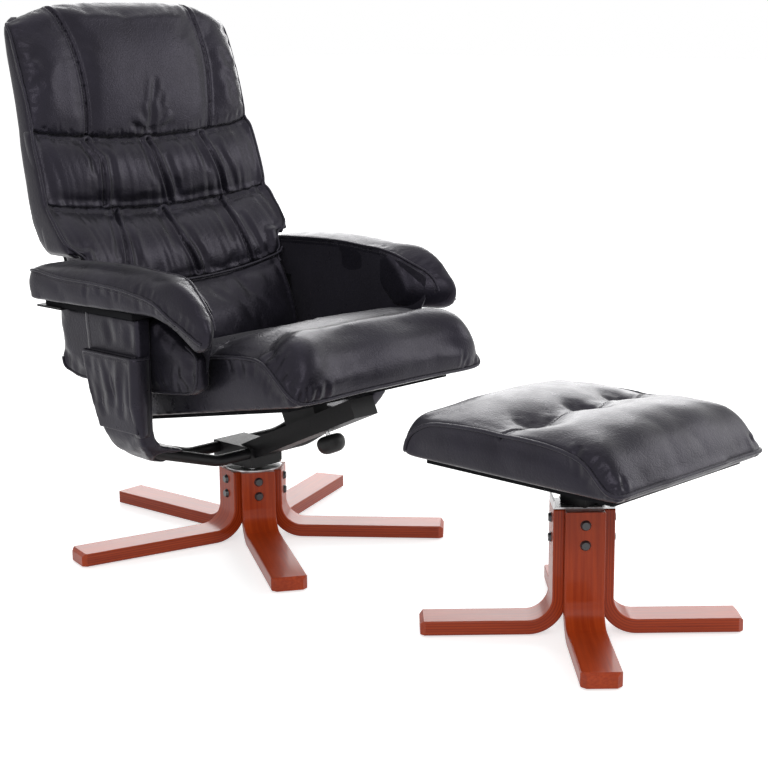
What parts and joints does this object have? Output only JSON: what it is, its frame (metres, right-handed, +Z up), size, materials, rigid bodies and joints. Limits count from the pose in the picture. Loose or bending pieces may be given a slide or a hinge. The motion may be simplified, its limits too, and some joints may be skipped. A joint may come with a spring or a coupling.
{
  "type": "swivel recliner with footstool",
  "caption": "Padded swivel recliner with sliding seat and reclining back on a star base of bent wood legs, with a matching footstool.",
  "frame": {"origin": "on the floor, under the middle of the recliner and its footstool together", "axes": "+Z up; the chair faces -Y, with its footstool ahead of it at -Y; the sitter's left hand is at +X"},
  "size_m": [0.7338, 1.4676, 1.0412],
  "materials": {
    "bent_plywood": "glossy cherry stain over bent laminated wood",
    "lined_plywood": "plywood under a black lining cloth",
    "black_leather": "soft semi-gloss grained leather over foam",
    "black_steel": "satin black powder coat",
    "zinc_steel": "bright zinc plate",
    "bright_steel": "turned steel",
    "black_bolts": "black oxide",
    "black_plastic": "moulded, semi-gloss",
    "glide_plastic": "moulded",
    "bearing_plastic": "nylon"
  },
  "bodies": {
    "chair_base": {"chair_leg_1": "bent_plywood", "chair_leg_2": "bent_plywood", "chair_leg_3": "bent_plywood", "chair_leg_4": "bent_plywood", "chair_leg_5": "bent_plywood", "chair_leg_bolts": "black_bolts", "chair_glides": "glide_plastic", "chair_hub": "zinc_steel", "chair_hub_cap": "zinc_steel", "chair_bearing_sleeve": "bearing_plastic", "chair_thrust_washer": "bearing_plastic"},
    "chair_frame": {"chair_spindle": "bright_steel", "swivel_plate": "black_steel", "swivel_plate_bolts": "zinc_steel", "mechanism_frame": "black_steel", "arm_frame_left": "black_steel", "arm_sleeve_left": "black_leather", "arm_pocket_left": "black_leather", "arm_board_left": "lined_plywood", "arm_pad_left": "black_leather", "arm_panel_left": "black_leather", "recline_bracket_left": "black_steel", "arm_frame_right": "black_steel", "arm_sleeve_right": "black_leather", "arm_pocket_right": "black_leather", "arm_board_right": "lined_plywood", "arm_pad_right": "black_leather", "arm_panel_right": "black_leather", "recline_bracket_right": "black_steel"},
    "lock_knob_body": {"lock_screw": "bright_steel", "lock_knob": "black_plastic"},
    "seat": {"seat_slider": "black_steel", "seat_pan": "lined_plywood", "seat_hinge_rod": "bright_steel", "seat_cushion": "black_leather"},
    "back": {"back_board": "lined_plywood", "back_hinge_lugs": "black_steel", "back_pivot_pins": "bright_steel", "pivot_lug_left": "black_steel", "pivot_lug_right": "black_steel", "back_shell": "black_leather", "lumbar_pad": "black_leather", "lower_band": "black_leather", "upper_band": "black_leather", "head_pad": "black_leather"},
    "stool_base": {"stool_leg_1": "bent_plywood", "stool_leg_2": "bent_plywood", "stool_leg_3": "bent_plywood", "stool_leg_4": "bent_plywood", "stool_leg_bolts": "black_bolts", "stool_glides": "glide_plastic", "stool_hub": "zinc_steel", "stool_hub_cap": "zinc_steel", "stool_bearing_sleeve": "bearing_plastic"},
    "stool_top": {"stool_spindle": "bright_steel", "stool_swivel_block": "black_steel", "stool_board_screws": "zinc_steel", "stool_board": "lined_plywood", "stool_cushion": "black_leather"}
  },
  "joints": [
    {"name": "chair_swivel", "type": "hinge", "parent": "chair_base", "child": "chair_frame", "pos_m": [0, 0.304, 0.15], "axis": [0, 0, 1], "continuous": true},
    {"name": "seat_slide", "type": "slide", "parent": "chair_frame", "child": "seat", "axis": [0, -0.9135, 0.4067], "range_m": [0, 0.08378]},
    {"name": "back_recline", "type": "hinge", "parent": "seat", "child": "back", "pos_m": [0, 0.464, 0.318], "axis": [-1, 0, 0], "range_deg": [0, 30]},
    {"name": "lock_knob_turn", "type": "hinge", "parent": "chair_frame", "child": "lock_knob_body", "pos_m": [0, 0.09043, 0.24328], "axis": [0, 0.4067, 0.9135], "range_deg": [0, 270]},
    {"name": "stool_placement", "type": "slide", "parent": "chair_base", "child": "stool_base", "axis": [0, -1, 0], "range_m": [0, 0.25]},
    {"name": "stool_swivel", "type": "hinge", "parent": "stool_base", "child": "stool_top", "pos_m": [0.005, -0.509, 0.22], "axis": [0, 0, 1], "continuous": true}
  ],
  "couplings": [
    {"joint": "seat_slide", "follows": "back_recline", "m_per_rad": 0.16}
  ]
}
